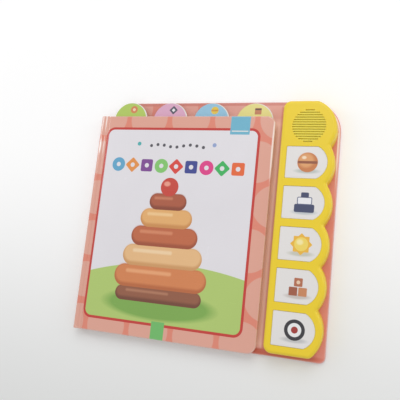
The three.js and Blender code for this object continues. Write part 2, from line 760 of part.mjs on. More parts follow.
for (let i = 0; i < CELL_COUNT; i += 1) {
  add(`battery_cell_${i + 1}`, batteryCell(i), STEEL, 0.25, 1);
}
add('roof_contact_single', contactPlate(0, 0, roofContactFloor), BRASS, 0.3, 1);
add('roof_contact_double', contactPlate(1, CELL_COUNT - 1, roofContactFloor), BRASS, 0.3, 1);
add('door_contact_double', contactPlate(0, 1, doorContactFloor), BRASS, 0.3, 1);
add('door_contact_single', contactPlate(CELL_COUNT - 1, CELL_COUNT - 1, doorContactFloor), BRASS, 0.3, 1);
add('battery_door', batteryDoor(), GREY_PLASTIC, 0.5);
add(
  'door_screw',
  screw(pocketX, doorScrewY, doorFloor, DOOR_THICKNESS / 2, DOOR_SCREW_LENGTH),
  STEEL,
  0.3,
  1,
);
screwPlaces.forEach(({ x, y }, i) => {
  const head = boardTop + SEAT_GAP;
  add(`housing_screw_${i + 1}`, screw(x, y, head, SCREW_HEAD_HEIGHT, SCREW_LENGTH), STEEL, 0.3, 1);
});

export default book;
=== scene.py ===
# %% [markdown]
# # A sound board book
# The book lies on its back cover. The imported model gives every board, page,
# button and screw its place, so it is loaded first and stays as it is. What
# this lesson adds is the look: wrapped boards, printed paper, moulded plastic.

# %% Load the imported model
import math

import bmesh
import bpy
from mathutils import Matrix, Vector


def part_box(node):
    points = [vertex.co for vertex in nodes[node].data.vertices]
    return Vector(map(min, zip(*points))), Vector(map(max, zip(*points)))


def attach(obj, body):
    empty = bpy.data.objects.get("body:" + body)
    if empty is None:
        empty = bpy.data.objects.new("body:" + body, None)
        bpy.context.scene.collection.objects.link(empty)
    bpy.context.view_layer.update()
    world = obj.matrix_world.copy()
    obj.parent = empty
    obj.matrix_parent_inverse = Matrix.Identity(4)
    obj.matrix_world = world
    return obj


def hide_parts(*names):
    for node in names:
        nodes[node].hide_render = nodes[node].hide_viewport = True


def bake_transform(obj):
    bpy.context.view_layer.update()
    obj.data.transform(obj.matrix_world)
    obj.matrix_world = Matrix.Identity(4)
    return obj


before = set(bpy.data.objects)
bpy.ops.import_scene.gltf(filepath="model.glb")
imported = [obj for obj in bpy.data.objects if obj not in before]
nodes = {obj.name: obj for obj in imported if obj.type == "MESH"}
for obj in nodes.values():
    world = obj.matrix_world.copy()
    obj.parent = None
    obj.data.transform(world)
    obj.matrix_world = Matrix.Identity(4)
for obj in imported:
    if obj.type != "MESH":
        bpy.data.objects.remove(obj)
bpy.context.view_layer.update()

MM = 0.001

# %% [markdown]
# ## Where things lie
# The printed pattern and the new pieces need a few lines of the book, such as
# the crease. They could be typed in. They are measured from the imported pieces
# instead, so they stay true if the book changes.

# %% Measure the book
def edges_of(node):
    """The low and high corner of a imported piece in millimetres"""
    low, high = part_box(node)
    return [value / MM for value in low], [value / MM for value in high]


spine_low, spine_high = edges_of("spine_board")
cover_low, cover_high = edges_of("front_cover")
_, back_high = edges_of("back_cover")
page_low, page_high = edges_of("page_block")
housing_low, housing_high = edges_of("sound_housing")
spine_x = spine_low[0]
strip_end = spine_high[0]
crease_x = (strip_end + cover_low[0]) / 2
cover_top = cover_high[2]
print("spine", spine_x, "crease", round(crease_x, 2), "cover top", round(cover_top, 2))

# %% [markdown]
# ## Colours
# A colour picked from a picture is in sRGB, and a shader socket takes linear
# light, so one small function turns the one into the other.

# %% Turn picked colours into shader colours
def paint(red, green, blue):
    """An sRGB colour of 0 to 255 as linear light"""
    def linear(channel):
        share = channel / 255
        return share / 12.92 if share <= 0.04045 else ((share + 0.055) / 1.055) ** 2.4
    return (linear(red), linear(green), linear(blue), 1.0)


CORAL_LIGHT = paint(228, 168, 150)
CORAL_DARK = paint(228, 138, 117)
CORAL_BACK = paint(226, 160, 146)
BORDER_RED = paint(200, 58, 50)
PANEL_WHITE = paint(231, 228, 233)
HILL_GREEN = paint(180, 206, 114)
HILL_SHADE = paint(128, 174, 80)
TAG_BLUE = paint(112, 182, 208)
TAG_GREEN = paint(114, 191, 106)
# Pale paint for painted highlights along the edges and the spine
PAINTED_HIGHLIGHT = paint(255, 238, 232)
# Painted shade beside the sound housing's wall and under its foot
PAINTED_SHADE = paint(204, 92, 64)
PAPER_WHITE = paint(236, 233, 228)
YELLOW = paint(242, 211, 44)
BUTTON_WHITE = paint(233, 230, 228)
print("coral as linear light:", [round(value, 3) for value in CORAL_LIGHT[:3]])

# %% [markdown]
# ## Small tools for node trees
# Every finish is a node tree. It could be drawn by hand in the editor, but in a
# script each node takes several lines. These helpers make it one line each:
# they join a value or a link to a socket, add a maths, noise or mix node, and
# start a node group with named sockets.

# %% Helpers for nodes
def feed(tree, socket, value):
    """Link an output to a socket, or set a plain value on it"""
    if isinstance(value, bpy.types.NodeSocket):
        tree.links.new(value, socket)
    else:
        socket.default_value = value


def sum_of(tree, operation, *values, clamp=False):
    """One maths node: a sum, a product or a comparison"""
    node = tree.nodes.new("ShaderNodeMath")
    node.operation = operation
    node.use_clamp = clamp
    for socket, value in zip(node.inputs, values):
        feed(tree, socket, value)
    return node.outputs[0]


def vector_of(tree, operation, *values):
    node = tree.nodes.new("ShaderNodeVectorMath")
    node.operation = operation
    for socket, value in zip(node.inputs, values):
        feed(tree, socket, value)
    return node.outputs["Vector"]


def scaled_by(tree, vector, factor):
    """A vector or a colour times one number"""
    node = tree.nodes.new("ShaderNodeVectorMath")
    node.operation = "SCALE"
    feed(tree, node.inputs[0], vector)
    feed(tree, node.inputs["Scale"], factor)
    return node.outputs["Vector"]


def parts_of(tree, vector):
    node = tree.nodes.new("ShaderNodeSeparateXYZ")
    feed(tree, node.inputs[0], vector)
    return node.outputs


def noise_of(tree, vector, scale, detail=2.0, roughness=0.5):
    node = tree.nodes.new("ShaderNodeTexNoise")
    feed(tree, node.inputs["Vector"], vector)
    feed(tree, node.inputs["Scale"], scale)
    node.inputs["Detail"].default_value = detail
    node.inputs["Roughness"].default_value = roughness
    return node.outputs["Fac"]


def lay(tree, under, over, mask):
    """Print one colour over another where the mask is white"""
    node = tree.nodes.new("ShaderNodeMix")
    node.data_type = "RGBA"
    feed(tree, node.inputs[0], mask)
    feed(tree, node.inputs[6], under)
    feed(tree, node.inputs[7], over)
    return node.outputs[2]


def new_group(name, inputs, outputs):
    """Start a node group; gives the group and the sockets of its two ends"""
    group = bpy.data.node_groups.new(name, "ShaderNodeTree")
    for label, kind, value in inputs:
        socket = group.interface.new_socket(label, in_out="INPUT", socket_type=kind)
        if value is not None:
            socket.default_value = value
    for label, kind in outputs:
        group.interface.new_socket(label, in_out="OUTPUT", socket_type=kind)
    entry = group.nodes.new("NodeGroupInput").outputs
    leave = group.nodes.new("NodeGroupOutput").inputs
    print("group", name, "takes", [item[0] for item in inputs])
    return group, entry, leave


FLOAT, VECTOR, COLOUR = "NodeSocketFloat", "NodeSocketVector", "NodeSocketColor"

# %% [markdown]
# ## Printed shapes
# The real book is printed with pictures. An image could be mapped on, but it
# blurs up close and has to be kept beside the script. Flat shapes need only two
# groups: a block with rounded corners and an ellipse. Each works out how far a
# point lies from the shape's outline. That distance gives a crisp edge at any
# zoom, and its size without the sign gives a printed line along the outline.

# %% From a distance to a mask
LEAST_LINE = 0.001


def reach_of(tree, x, y):
    """How far a point lies from where x and y are both nought"""
    return sum_of(tree, "SQRT", sum_of(tree, "ADD", sum_of(tree, "MULTIPLY", x, x),
                                       sum_of(tree, "MULTIPLY", y, y)))


def soft_step(tree, distance, blur):
    """White inside the outline, black outside, grey over the width of the blur"""
    return sum_of(tree, "SUBTRACT", 0.5, sum_of(tree, "DIVIDE", distance, blur), clamp=True)


def outline_mask(tree, distance, entry):
    """The filled shape, or a line along its outline where a line width is given"""
    along = sum_of(tree, "SUBTRACT", sum_of(tree, "ABSOLUTE", distance),
                   sum_of(tree, "MULTIPLY", entry["Line"], 0.5))
    chosen = tree.nodes.new("ShaderNodeMix")
    feed(tree, chosen.inputs[0], sum_of(tree, "GREATER_THAN", entry["Line"], LEAST_LINE))
    feed(tree, chosen.inputs[2], distance)
    feed(tree, chosen.inputs[3], along)
    return soft_step(tree, chosen.outputs[0], entry["Blur"])


# %% Group for a block with rounded corners
block_group, entry, leave = new_group(
    "Printed block",
    [("Position", VECTOR, None), ("Middle", VECTOR, None), ("Half size", VECTOR, None),
     ("Corner", FLOAT, 1.0), ("Turn", FLOAT, 0.0), ("Line", FLOAT, 0.0), ("Blur", FLOAT, 0.15)],
    [("Mask", FLOAT)])
tree = block_group
turn = tree.nodes.new("ShaderNodeVectorRotate")
turn.rotation_type = "Z_AXIS"
feed(tree, turn.inputs["Vector"],
     vector_of(tree, "SUBTRACT", entry["Position"], entry["Middle"]))
feed(tree, turn.inputs["Angle"], sum_of(tree, "MULTIPLY", entry["Turn"], -1.0))
folded = vector_of(tree, "ABSOLUTE", turn.outputs["Vector"])
x, y, _ = parts_of(tree, vector_of(tree, "SUBTRACT", folded, entry["Half size"]))
x = sum_of(tree, "ADD", x, entry["Corner"])
y = sum_of(tree, "ADD", y, entry["Corner"])
outside = reach_of(tree, sum_of(tree, "MAXIMUM", x, 0.0), sum_of(tree, "MAXIMUM", y, 0.0))
inside = sum_of(tree, "MINIMUM", sum_of(tree, "MAXIMUM", x, y), 0.0)
distance = sum_of(tree, "SUBTRACT", sum_of(tree, "ADD", outside, inside), entry["Corner"])
feed(tree, leave["Mask"], outline_mask(tree, distance, entry))

# %% Group for an ellipse
disc_group, entry, leave = new_group(
    "Printed disc",
    [("Position", VECTOR, None), ("Middle", VECTOR, None), ("Radius X", FLOAT, 5.0),
     ("Radius Y", FLOAT, 5.0), ("Line", FLOAT, 0.0), ("Blur", FLOAT, 0.15)],
    [("Mask", FLOAT)])
tree = disc_group
x, y, _ = parts_of(tree, vector_of(tree, "SUBTRACT", entry["Position"], entry["Middle"]))
reach = reach_of(tree, sum_of(tree, "DIVIDE", x, entry["Radius X"]),
                 sum_of(tree, "DIVIDE", y, entry["Radius Y"]))
smaller = sum_of(tree, "MINIMUM", entry["Radius X"], entry["Radius Y"])
distance = sum_of(tree, "MULTIPLY", sum_of(tree, "SUBTRACT", reach, 1.0), smaller)
feed(tree, leave["Mask"], outline_mask(tree, distance, entry))

# %% [markdown]
# ## The dotted ground
# The paper round the boards is printed with big pale dots, each row shifted by
# about half a step. Each dot could be a shape of its own. It is less work to
# move a point to its nearest dot by rounding: one distance then makes them all.

# %% Group for staggered dots
dots_group, entry, leave = new_group(
    "Staggered dots",
    [("Position", VECTOR, None), ("First dot", VECTOR, None), ("Step X", FLOAT, 41.7),
     ("Step Y", FLOAT, 38.5), ("Radius", FLOAT, 18.5), ("Shift", FLOAT, 0.5),
     ("Blur", FLOAT, 0.6)],
    [("Mask", FLOAT)])
tree = dots_group
x, y, _ = parts_of(tree, vector_of(tree, "SUBTRACT", entry["Position"], entry["First dot"]))
v = sum_of(tree, "DIVIDE", y, entry["Step Y"])
row = sum_of(tree, "ROUND", v)
shift = sum_of(tree, "MULTIPLY", sum_of(tree, "PINGPONG", row, 1.0), entry["Shift"])
u = sum_of(tree, "SUBTRACT", sum_of(tree, "DIVIDE", x, entry["Step X"]), shift)
off_x = sum_of(tree, "MULTIPLY", sum_of(tree, "SUBTRACT", u, sum_of(tree, "ROUND", u)),
               entry["Step X"])
off_y = sum_of(tree, "MULTIPLY", sum_of(tree, "SUBTRACT", v, row), entry["Step Y"])
distance = sum_of(tree, "SUBTRACT", reach_of(tree, off_x, off_y), entry["Radius"])
feed(tree, leave["Mask"], soft_step(tree, distance, entry["Blur"]))

# %% [markdown]
# ## Four kinds of surface
# Film over print is glossy with a faint ripple and hairline rubs. The cut edge
# of a board shows its fibres in layers. Moulded plastic carries the fine
# texture of its mould. Metal has drawn lines. Photographs of surfaces could
# show all that, but noise has no edge or seam and its scale is set in
# millimetres. Each kind is one group that takes a colour and gives back a
# colour, a roughness and a height.

# %% Noise that changes a colour, or is drawn out into fibres
def varied(tree, colour, noise, middle, amount):
    """The colour a little lighter or darker where the noise leaves its middle"""
    change = sum_of(tree, "MULTIPLY", sum_of(tree, "SUBTRACT", noise, middle), amount)
    return scaled_by(tree, colour, sum_of(tree, "ADD", 1.0, change))


def drawn_out(tree, position, *factors):
    """Scale x, y and z apart, so that round spots of noise turn into fibres"""
    node = tree.nodes.new("ShaderNodeCombineXYZ")
    for socket, part, factor in zip(node.inputs, parts_of(tree, position), factors):
        feed(tree, socket, sum_of(tree, "MULTIPLY", part, factor))
    return node.outputs[0]


GREY = (0.8, 0.8, 0.8, 1.0)
SURFACE = [("Colour", COLOUR), ("Roughness", FLOAT), ("Height", FLOAT)]

# %% Group for glossy film over print
film_group, entry, leave = new_group(
    "Film over print",
    [("Position", VECTOR, None), ("Ink", COLOUR, GREY), ("Roughness", FLOAT, 0.28),
     ("Ripple", FLOAT, 1.0), ("Fade", FLOAT, 0.05)], SURFACE)
tree = film_group
cloud = noise_of(tree, entry["Position"], 0.02, 3.0, 0.6)
grain = noise_of(tree, entry["Position"], 1.6, 2.0, 0.6)
ripple = noise_of(tree, entry["Position"], 0.22, 2.0, 0.4)
hairlines = drawn_out(tree, entry["Position"], 0.05, 1.9, 0.4)
rub = sum_of(tree, "GREATER_THAN", noise_of(tree, hairlines, 1.0, 3.0, 0.7), 0.66)
mottle = sum_of(tree, "ADD", sum_of(tree, "MULTIPLY", cloud, 0.7),
                sum_of(tree, "MULTIPLY", grain, 0.3))
feed(tree, leave["Colour"],
     varied(tree, entry["Ink"], mottle, 0.5, sum_of(tree, "MULTIPLY", entry["Fade"], 2.0)))
rough = sum_of(tree, "ADD", entry["Roughness"], sum_of(tree, "MULTIPLY", rub, 0.06))
rough = sum_of(tree, "ADD", rough, sum_of(tree, "MULTIPLY", cloud, 0.05))
feed(tree, leave["Roughness"], rough)
height = sum_of(tree, "ADD", sum_of(tree, "MULTIPLY", ripple, entry["Ripple"]),
                sum_of(tree, "MULTIPLY", grain, 0.04))
feed(tree, leave["Height"], height)

# %% Group for the cut edge of board
core_group, entry, leave = new_group(
    "Board core",
    [("Position", VECTOR, None), ("Paper", COLOUR, GREY), ("Layers", FLOAT, 6.0),
     ("Contrast", FLOAT, 0.12)], SURFACE)
tree = core_group
layers = drawn_out(tree, entry["Position"], 0.35, 0.35, entry["Layers"])
fibre = noise_of(tree, layers, 1.0, 4.0, 0.65)
feed(tree, leave["Colour"], varied(tree, entry["Paper"], fibre, 0.6, entry["Contrast"]))
feed(tree, leave["Roughness"], sum_of(tree, "ADD", 0.75, sum_of(tree, "MULTIPLY", fibre, 0.15)))
feed(tree, leave["Height"], fibre)

# %% Group for moulded plastic
moulded_group, entry, leave = new_group(
    "Moulded plastic",
    [("Position", VECTOR, None), ("Resin", COLOUR, GREY), ("Roughness", FLOAT, 0.35),
     ("Texture", FLOAT, 1.0), ("Flow", FLOAT, 0.05)], SURFACE)
tree = moulded_group
flow = noise_of(tree, entry["Position"], 0.03, 2.0, 0.5)
spark = noise_of(tree, entry["Position"], 3.2, 3.0, 0.6)
sag = noise_of(tree, entry["Position"], 0.12, 1.0, 0.4)
feed(tree, leave["Colour"], varied(tree, entry["Resin"], flow, 0.5, entry["Flow"]))
rough = sum_of(tree, "ADD", entry["Roughness"],
               sum_of(tree, "MULTIPLY", sum_of(tree, "SUBTRACT", spark, 0.5), 0.1))
feed(tree, leave["Roughness"], rough)
grains = sum_of(tree, "MULTIPLY", spark, sum_of(tree, "MULTIPLY", entry["Texture"], 0.12))
feed(tree, leave["Height"], sum_of(tree, "ADD", grains, sag))

# %% Group for drawn metal
metal_group, entry, leave = new_group(
    "Drawn metal",
    [("Position", VECTOR, None), ("Metal", COLOUR, GREY), ("Roughness", FLOAT, 0.3),
     ("Lines", FLOAT, 9.0)], SURFACE)
tree = metal_group
line = noise_of(tree, drawn_out(tree, entry["Position"], entry["Lines"], 0.3, 1.0), 1.0, 3.0, 0.6)
feed(tree, leave["Colour"], varied(tree, entry["Metal"], line, 0.5, 0.16))
feed(tree, leave["Roughness"], sum_of(tree, "ADD", entry["Roughness"],
                                      sum_of(tree, "MULTIPLY", line, 0.12)))
feed(tree, leave["Height"], line)

# %% [markdown]
# ## From groups to finishes
# A finish is a material that starts with the place of each point in
# millimetres. The film, core, plastic and metal groups all give the same three
# outputs, so one function can join any of them to the shader.

# %% Start and end a finish
COAT_ROUGHNESS = 0.12
BUMP_STRENGTH = 0.6


def start_finish(name):
    """A new material, its node tree and the place of each point in millimetres"""
    material = bpy.data.materials.new(name)
    material.use_nodes = True
    tree = material.node_tree
    place = tree.nodes.new("ShaderNodeTexCoord").outputs["Object"]
    return material, tree, scaled_by(tree, place, 1 / MM)


def use(tree, group, **values):
    """Place a group and set its inputs; an underscore stands for a space"""
    node = tree.nodes.new("ShaderNodeGroup")
    node.node_tree = group
    for label, value in values.items():
        feed(tree, node.inputs[label.replace("_", " ")], value)
    return node.outputs


def end_finish(material, surface, relief, coat=0.0, metallic=0.0):
    """Join a surface group to the shader; relief is the bump in millimetres"""
    tree = material.node_tree
    shader = tree.nodes["Principled BSDF"]
    feed(tree, shader.inputs["Base Color"], surface["Colour"])
    feed(tree, shader.inputs["Roughness"], surface["Roughness"])
    shader.inputs["Metallic"].default_value = metallic
    shader.inputs["Coat Weight"].default_value = coat
    shader.inputs["Coat Roughness"].default_value = COAT_ROUGHNESS
    bump = tree.nodes.new("ShaderNodeBump")
    bump.inputs["Strength"].default_value = BUMP_STRENGTH
    bump.inputs["Distance"].default_value = relief * MM
    feed(tree, bump.inputs["Height"], surface["Height"])
    feed(tree, shader.inputs["Normal"], bump.outputs["Normal"])
    print("finish", material.name, "has", len(tree.nodes), "nodes")
    return material


# %% Print a list of shapes
def block(middle, half, colour, corner=0.6, turn=0.0, line=0.0, blur=0.2, within=None, ink=1.0):
    sockets = {"Middle": (*middle, 0.0), "Half_size": (*half, 0.0), "Corner": corner,
               "Turn": math.radians(turn), "Line": line, "Blur": blur}
    return block_group, sockets, colour, within, ink


def disc(middle, radii, colour, line=0.0, blur=0.2, within=None, ink=1.0):
    sockets = {"Middle": (*middle, 0.0), "Radius_X": radii[0], "Radius_Y": radii[1],
               "Line": line, "Blur": blur}
    return disc_group, sockets, colour, within, ink


def print_shapes(tree, position, colour, shapes):
    """Lay flat shapes over a colour in the order of the list"""
    for group, sockets, over, within, ink in shapes:
        mask = use(tree, group, Position=position, **sockets)["Mask"]
        if within is not None:
            mask = sum_of(tree, "MULTIPLY", mask, within)
        if ink < 1.0:
            mask = sum_of(tree, "MULTIPLY", mask, ink)
        colour = lay(tree, colour, over, mask)
    return colour


def flat(tree, position):
    """The place of a point with its height left out, so that print runs down an edge"""
    return vector_of(tree, "MULTIPLY", position, (1.0, 1.0, 0.0))


# %% Rubbed paper
def worn_rim_and_highlight(tree, position, middle, half, corner):
    """Specks of white board show all round, where the paper's rim is rubbed through; the pale
    line along the rim is also a painted highlight
    """
    specks = sum_of(tree, "MULTIPLY", noise_of(tree, position, 0.35, 3.0, 0.7), 1.1)
    return block(middle, half, PAPER_WHITE, corner, line=0.5, blur=1.0, within=specks, ink=0.6)


def painted_highlight_streak(x, y, half_width, half_length, ink=0.9, within=None):
    """A narrow pale streak along the book: a painted highlight where its rounded edge catches the
    light
    """
    return disc((x, y), (half_width, half_length), PAINTED_HIGHLIGHT, blur=0.5, within=within, ink=ink)


# %% [markdown]
# ## The front print
# The cover shows a white panel with a red line round it, a green hill, a row of
# nine bright shapes and two small tags. A toy of stacked rings stands on the
# hill, because rings are plain rounded blocks: one darker below, one lighter
# inside it and a pale streak make each look round. Everything is laid over the
# dotted coral ground. The worn rim, which is also a painted highlight, and the
# painted highlight streaks along the spine and the right edge come last.

# %% Stacked rings and a hill
PANEL_MIDDLE = (-28.85, -7.75)
PANEL_HALF = (74.25, 88.55)
PANEL_CORNER = 7.0
COVER_MIDDLE = ((spine_x + cover_high[0]) / 2, (cover_low[1] + cover_high[1]) / 2)
COVER_HALF = ((cover_high[0] - spine_x) / 2 - 0.3, (cover_high[1] - cover_low[1]) / 2 - 0.3)
STACK_X = -33.0
STACK_FOOT = -78.0
RING_OVERLAP = 0.8
KNOB_RADIUS = 8.6
# Each ring: half width, half height, and the colours of its shade, body and light
RINGS = [
    (41, 6.5, (118, 68, 48), (150, 92, 66), (186, 128, 98)),
    (44, 10, (190, 106, 60), (218, 134, 82), (240, 172, 122)),
    (38, 9.5, (212, 158, 102), (236, 190, 136), (248, 218, 176)),
    (32, 9, (164, 82, 52), (196, 106, 68), (222, 142, 104)),
    (25, 8.5, (210, 146, 84), (234, 178, 112), (248, 208, 152)),
    (18, 7.5, (142, 70, 48), (176, 92, 64), (208, 130, 98)),
]
stack = []
ring_y = STACK_FOOT
for half_width, half_height, shade, body, light in RINGS:
    middle_y = ring_y + half_height
    ring_y += 2 * half_height - RING_OVERLAP
    stack += [
        block((STACK_X, middle_y), (half_width, half_height), paint(*shade), half_height),
        block((STACK_X, middle_y + 1.6), (half_width - 1.2, half_height - 1.8),
              paint(*body), half_height - 2, blur=2.4),
        block((STACK_X - half_width * 0.25, middle_y + half_height * 0.42),
              (half_width * 0.5, half_height * 0.16), paint(*light), half_height * 0.15,
              blur=1.6, ink=0.85),
    ]
knob_y = ring_y + 7
stack += [disc((STACK_X, knob_y), (KNOB_RADIUS, KNOB_RADIUS), paint(204, 70, 58)),
          disc((STACK_X - 2.6, knob_y + 2.8), (3.0, 2.2), paint(240, 160, 140), blur=1.2)]
print("the stacked rings reach up to", round(knob_y + KNOB_RADIUS, 1), "mm")

# %% Row of bright shapes and a string of dots
ROW_START, ROW_STEP = (-87.5, 46.0), (14.6, -0.15)
STRING_START, STRING_STEP, STRING_WAVE = (-56, 64.6), 6.4, 1.1
DOT_RADIUS = 1.5
row_colours = [(96, 168, 206), (232, 148, 72), (128, 72, 150), (134, 202, 112), (222, 70, 62),
               (62, 72, 148), (226, 66, 140), (62, 182, 96), (234, 106, 56)]
row = []
for number, colour in enumerate(row_colours):
    middle = (ROW_START[0] + ROW_STEP[0] * number, ROW_START[1] + ROW_STEP[1] * number)
    colour = paint(*colour)
    row += [[disc(middle, (6.6, 6.6), colour),
             block(middle, (5.2, 5.2), colour, 1.2, turn=45.0),
             block(middle, (5.8, 5.8), colour, 1.6)][number % 3],
            disc(middle, (2.1, 2.1), PANEL_WHITE)]

string = [disc((STRING_START[0] + STRING_STEP * number,
                STRING_START[1] + STRING_WAVE * math.sin(number * 1.3)),
               (DOT_RADIUS, DOT_RADIUS), paint(86, 84, 92)) for number in range(9)]
string += [disc((-68.5, 66.2), (1.9, 1.9), paint(78, 178, 178)),
           disc((5.5, 66.0), (1.9, 1.9), paint(150, 168, 210))]
print("bright shapes:", len(row_colours), "and dots:", len(string))

# %% Finish of the printed covers
FIRST_DOT_Y = 90.4
cover_finish, tree, position = start_finish("front_print_and_highlights")
spot = flat(tree, position)
dots = use(tree, dots_group, Position=spot, First_dot=(-103.2, FIRST_DOT_Y, 0.0),
           Shift=0.57)["Mask"]
ground = lay(tree, CORAL_DARK, CORAL_LIGHT, dots)
spine_dots = use(tree, dots_group, Position=spot, First_dot=(-106.5, FIRST_DOT_Y, 0.0),
                 Radius=16.2, Shift=0.0)["Mask"]
on_spine = use(tree, block_group, Position=spot, Middle=(crease_x - 20.4, 0.0, 0.0),
               Half_size=(20.0, 200.0, 0.0), Blur=0.8)["Mask"]
ground = lay(tree, ground, lay(tree, CORAL_DARK, CORAL_LIGHT, spine_dots), on_spine)
panel = use(tree, block_group, Position=spot, Middle=(*PANEL_MIDDLE, 0.0),
            Half_size=(*PANEL_HALF, 0.0), Corner=PANEL_CORNER)["Mask"]
colour = print_shapes(tree, spot, lay(tree, ground, PANEL_WHITE, panel), [
    disc((-20, -317.5), (275, 275), HILL_GREEN, blur=0.5, within=panel),
    disc((-31.6, -79.6), (51, 12.6), HILL_SHADE, blur=3.0, within=panel),
    *stack, *row, *string,
    block(PANEL_MIDDLE, PANEL_HALF, BORDER_RED, PANEL_CORNER, line=2.3),
    block((27.6, 86.0), (8.9, 9.9), TAG_BLUE, 0.3),
    block((27.6, 79.2), (7.6, 0.45), PAPER_WHITE, 0.3),
    block((-29.15, -102.0), (6.15, 8.7), TAG_GREEN, 0.3),
    # Worn rim, also a painted highlight along the cover's edge
    worn_rim_and_highlight(tree, position, COVER_MIDDLE, COVER_HALF, 8.0),
    # Painted highlights along the cover's right edge and on the spine's shoulder and ridge
    painted_highlight_streak(cover_high[0] - 0.9, 66.0, 0.8, 27.0),
    painted_highlight_streak(-110.3, 89.0, 0.8, 9.0, ink=0.6),
    painted_highlight_streak(-110.1, 63.5, 1.0, 7.5, ink=0.95),
    painted_highlight_streak(-106.9, 89.0, 0.8, 10.0),
    painted_highlight_streak(-106.6, 63.5, 0.8, 9.0, ink=0.5),
])
surface = use(tree, film_group, Position=position, Ink=colour, Roughness=0.24, Ripple=0.5)
end_finish(cover_finish, surface, 0.12, coat=0.4)

# %% [markdown]
# ## Paper on the back board and inside
# The back board carries the same dotted paper, a little pinker. Its upper face
# is painted paler in the open strip beside the module, as painted light where
# that strip lies in shade, and painted darker along the housing's wall and foot,
# as painted shade. Masks keep both off the side that lies on the table. Its rim
# has worn white specks that are also a painted highlight, and a painted
# highlight runs down its right rim and round the big corner. The inside of the
# front cover is pasted with a lining sheet in small dots, which hides the
# turned-in edges.

# %% Finish of the back board
BACK_CORNER = 28.0
CORNER_MIDDLE = (back_high[0] - BACK_CORNER, back_high[1] - BACK_CORNER)
UNDER_COVER = 7.0  # how far the paler paint reaches in under the front cover
strip_left = cover_high[0] - 1 - UNDER_COVER
strip_right = housing_low[0] + 1
print("open strip beside the module is", round(housing_low[0] - cover_high[0], 2), "mm wide")
back_finish, tree, position = start_finish("back_print_light_and_shade")
spot = flat(tree, position)
_, along, level = parts_of(tree, position)
upper_face = sum_of(tree, "GREATER_THAN", level, back_high[2] / 2)
below_corner = sum_of(tree, "LESS_THAN", along, CORNER_MIDDLE[1])
above_corner = sum_of(tree, "GREATER_THAN", along, CORNER_MIDDLE[1])
right_of = use(tree, block_group, Position=spot, Middle=(113.0, CORNER_MIDDLE[1] + 8, 0.0),
               Half_size=(12.0, 14.0, 0.0), Blur=6.0)["Mask"]
in_corner = sum_of(tree, "MULTIPLY", right_of, above_corner)
dots = use(tree, dots_group, Position=spot, First_dot=(-82.0, 102.0, 0.0),
           Step_X=46.0, Step_Y=40.0, Radius=19.0)["Mask"]
colour = print_shapes(tree, spot, lay(tree, paint(222, 134, 118), CORAL_BACK, dots), [
    block((back_high[0] - 3, 0), (5.5, 120), paint(234, 138, 124), 1.0, blur=3.0, ink=0.8),
    block((0, back_high[1]), (120, 3.2), paint(208, 124, 112), 0.5, blur=0.8, ink=0.85),
    # Painted light: the open strip between the cover and the housing lies in shade, so it is
    # painted paler
    block(((strip_left + strip_right) / 2, -6), ((strip_right - strip_left) / 2, 97),
          paint(255, 208, 196), 2.0, blur=6.0, within=upper_face, ink=0.95),
    # Painted shade along the housing's left wall
    block((housing_low[0] - 1.0, 0), (2.4, 104), PAINTED_SHADE, 0.5, blur=1.6, within=upper_face,
          ink=0.6),
    # Painted shade under the housing's foot
    disc((76.0, housing_low[1] - 0.8), (34.0, 2.6), PAINTED_SHADE, blur=1.4, within=upper_face,
         ink=0.9),
    # Worn rim, also a painted highlight along the board's edge
    worn_rim_and_highlight(tree, position, (0, 0), (back_high[0] - 0.3, back_high[1] - 0.3), 5.0),
    # Painted highlight round the big corner and down the right rim
    disc(CORNER_MIDDLE, (BACK_CORNER - 1.4, BACK_CORNER - 1.4), PAINTED_HIGHLIGHT, line=1.1, blur=0.5,
         within=in_corner, ink=0.9),
    painted_highlight_streak(back_high[0] - 1.5, CORNER_MIDDLE[1], 0.75, 42.0, within=below_corner),
])
surface = use(tree, film_group, Position=position, Ink=colour, Roughness=0.26, Ripple=0.5)
end_finish(back_finish, surface, 0.12, coat=0.4)

# %% Finish of the lining
lining_finish, tree, position = start_finish("lining_paper")
dots = use(tree, dots_group, Position=flat(tree, position), First_dot=(-82.0, 84.0, 0.0),
           Step_X=16.0, Step_Y=14.0, Radius=2.2, Blur=0.3)["Mask"]
colour = lay(tree, paint(238, 205, 192), paint(226, 150, 134), dots)
surface = use(tree, film_group, Position=position, Ink=colour, Roughness=0.5, Ripple=0.3)
end_finish(lining_finish, surface, 0.1)

# %% [markdown]
# ## Pages
# The four leaves are thick white board with print on both faces. Each carries a
# round tab of its own colour, and on the cut edges the white core shows. The
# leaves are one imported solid, so a mask on the height picks the leaf, and one
# material prints all four.

# %% Finish of the printed pages
TAB_COLOURS = [(180, 206, 98), (222, 172, 200), (150, 198, 224), (232, 222, 138)]
TAB_Y = 90.15
TAB_RADIUS = 17.6
TAB_MARGIN = 0.7
PAGE_MIDDLE = (-28, -7.75)
tab_x = [-82.4 + 40.2 * number for number in range(len(TAB_COLOURS))]
print("tabs at x =", [round(x, 1) for x in tab_x])
page_finish, tree, position = start_finish("page_print")
_, _, level = parts_of(tree, position)
leaf_step = (page_high[2] - page_low[2]) / len(TAB_COLOURS)
page_shapes = []
for number, shade in enumerate(TAB_COLOURS):
    leaf_top = page_high[2] - number * leaf_step
    on_leaf = sum_of(tree, "MULTIPLY", sum_of(tree, "LESS_THAN", level, leaf_top + 0.3),
                     sum_of(tree, "GREATER_THAN", level, leaf_top - leaf_step - 0.1))
    inner = TAB_RADIUS - TAB_MARGIN
    page_shapes += [
        disc((tab_x[number], TAB_Y), (TAB_RADIUS, TAB_RADIUS), PAPER_WHITE, within=on_leaf),
        disc((tab_x[number] - 0.8, TAB_Y - 0.3), (inner, inner), paint(*shade), within=on_leaf),
        block(PAGE_MIDDLE, (84, 99), paint(*shade), 0.5, within=on_leaf)]
